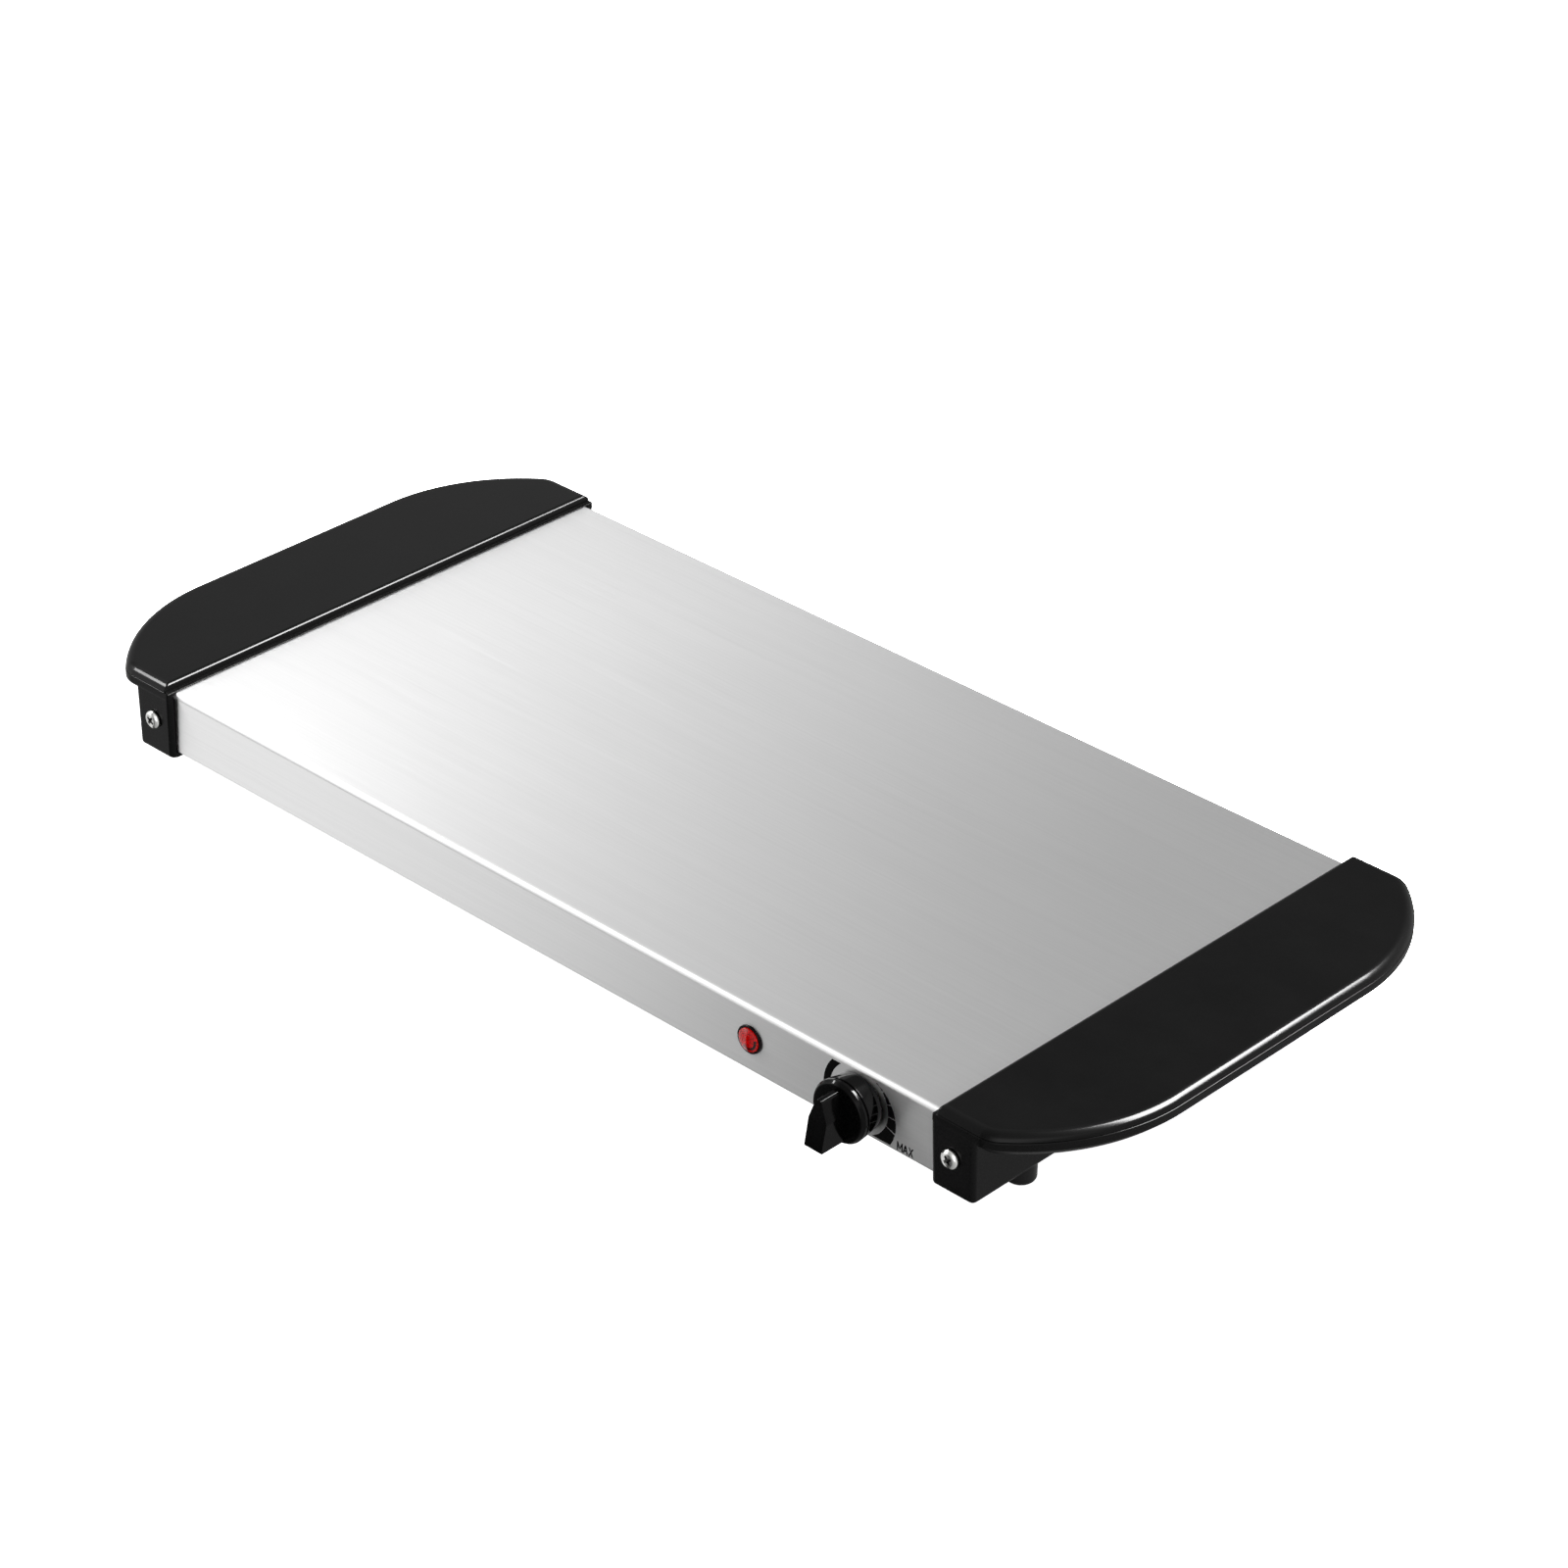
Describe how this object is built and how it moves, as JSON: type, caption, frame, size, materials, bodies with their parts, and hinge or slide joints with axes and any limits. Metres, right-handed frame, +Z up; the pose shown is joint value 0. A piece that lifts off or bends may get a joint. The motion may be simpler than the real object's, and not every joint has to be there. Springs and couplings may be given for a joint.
{
  "type": "electric food warming tray",
  "caption": "Long low electric warming tray: brushed steel hot plate between two black moulded handles, with a thermostat knob and red pilot lamp in the front wall.",
  "frame": {"origin": "middle of the tray's footprint, knob included, on the surface it stands on", "axes": "+X along the hot plate to the knob end, +Y to the back, +Z up"},
  "size_m": [0.64, 0.3148, 0.0506],
  "materials": {
    "stainless_cover": "fine brushed stainless steel, grain along the length",
    "zinc_steel": "zinc-plated sheet steel",
    "cap_plastic": "black heat-resistant phenolic, satin",
    "shell_plastic": "black heat-resistant phenolic, satin",
    "screw_zinc": "bright zinc",
    "foot_plastic": "black, smooth",
    "knob_plastic": "black, polished",
    "spring_steel": "blued spring steel",
    "shaft_steel": "turned steel",
    "ceramic": "glazed white",
    "brass": "plain",
    "contact_bronze": "rolled bronze strip",
    "bimetal": "rolled strip",
    "red_lens": "red transparent, faceted inside",
    "white_nylon": "white, satin",
    "lamp_glass": "clear glass",
    "resistor_body": "tan lacquer",
    "aluminium_sheet": "mill finish",
    "mica": "amber mica, pearly",
    "heating_alloy": "oxidised alloy ribbon",
    "mineral_wool": "felted mineral wool",
    "glass_sleeve": "braided glass sleeve",
    "wire_brown": "silicone insulation",
    "wire_blue": "silicone insulation",
    "wire_white": "silicone insulation",
    "wire_earth": "silicone insulation",
    "gland_rubber": "black"
  },
  "bodies": {
    "tray": {"top_cover": "stainless_cover", "base_plate": "zinc_steel", "base_screws": "screw_zinc", "left_handle_cap": "cap_plastic", "right_handle_cap": "cap_plastic", "left_handle_shell": "shell_plastic", "right_handle_shell": "shell_plastic", "cap_screws": "screw_zinc", "handle_screws": "screw_zinc", "clinch_nuts": "screw_zinc", "feet": "foot_plastic", "foot_screws": "screw_zinc", "thermostat_bracket": "zinc_steel", "thermostat_nut": "brass", "ceramic_spacers": "ceramic", "stack_rivet": "brass", "blade_terminal": "contact_bronze", "fixed_contact_blade": "contact_bronze", "bimetal_strip": "bimetal", "indicator_lens": "red_lens", "lamp_holder": "white_nylon", "neon_bulb": "lamp_glass", "lamp_resistor": "resistor_body", "heat_spreader": "aluminium_sheet", "upper_mica_sheet": "mica", "heating_ribbon": "heating_alloy", "mica_card": "mica", "lower_mica_sheet": "mica", "clamp_bars": "zinc_steel", "clamp_studs": "screw_zinc", "clamp_nuts": "screw_zinc", "insulation_blanket": "mineral_wool", "thermal_fuse": "shaft_steel", "fuse_sleeve": "glass_sleeve", "fuse_clip": "zinc_steel", "terminal_block": "ceramic", "terminal_screws": "brass", "live_wire": "wire_brown", "fuse_wire": "wire_brown", "heater_wire": "wire_white", "neutral_wire": "wire_blue", "lamp_wires": "wire_blue", "earth_wire": "wire_earth", "earth_screw": "brass", "cord_gland": "gland_rubber"},
    "knob": {"knob": "knob_plastic", "knob_clip": "spring_steel", "thermostat_shaft": "shaft_steel", "shaft_clip": "spring_steel", "adjuster_pin": "ceramic"},
    "contact_blade": {"moving_contact_blade": "contact_bronze"}
  },
  "joints": [
    {"name": "knob_turn", "type": "hinge", "parent": "tray", "child": "knob", "pos_m": [0.2042, -0.1283, 0.0294], "axis": [0, 1, 0], "range_deg": [-138, 138]},
    {"name": "blade_swing", "type": "hinge", "parent": "tray", "child": "contact_blade", "pos_m": [0.1852, -0.1165, 0.0294], "axis": [0, 0, 1], "range_deg": [-0.7, 0.7]}
  ],
  "couplings": [
    {"joint": "blade_swing", "follows": "knob_turn", "ratio": 0.005}
  ]
}
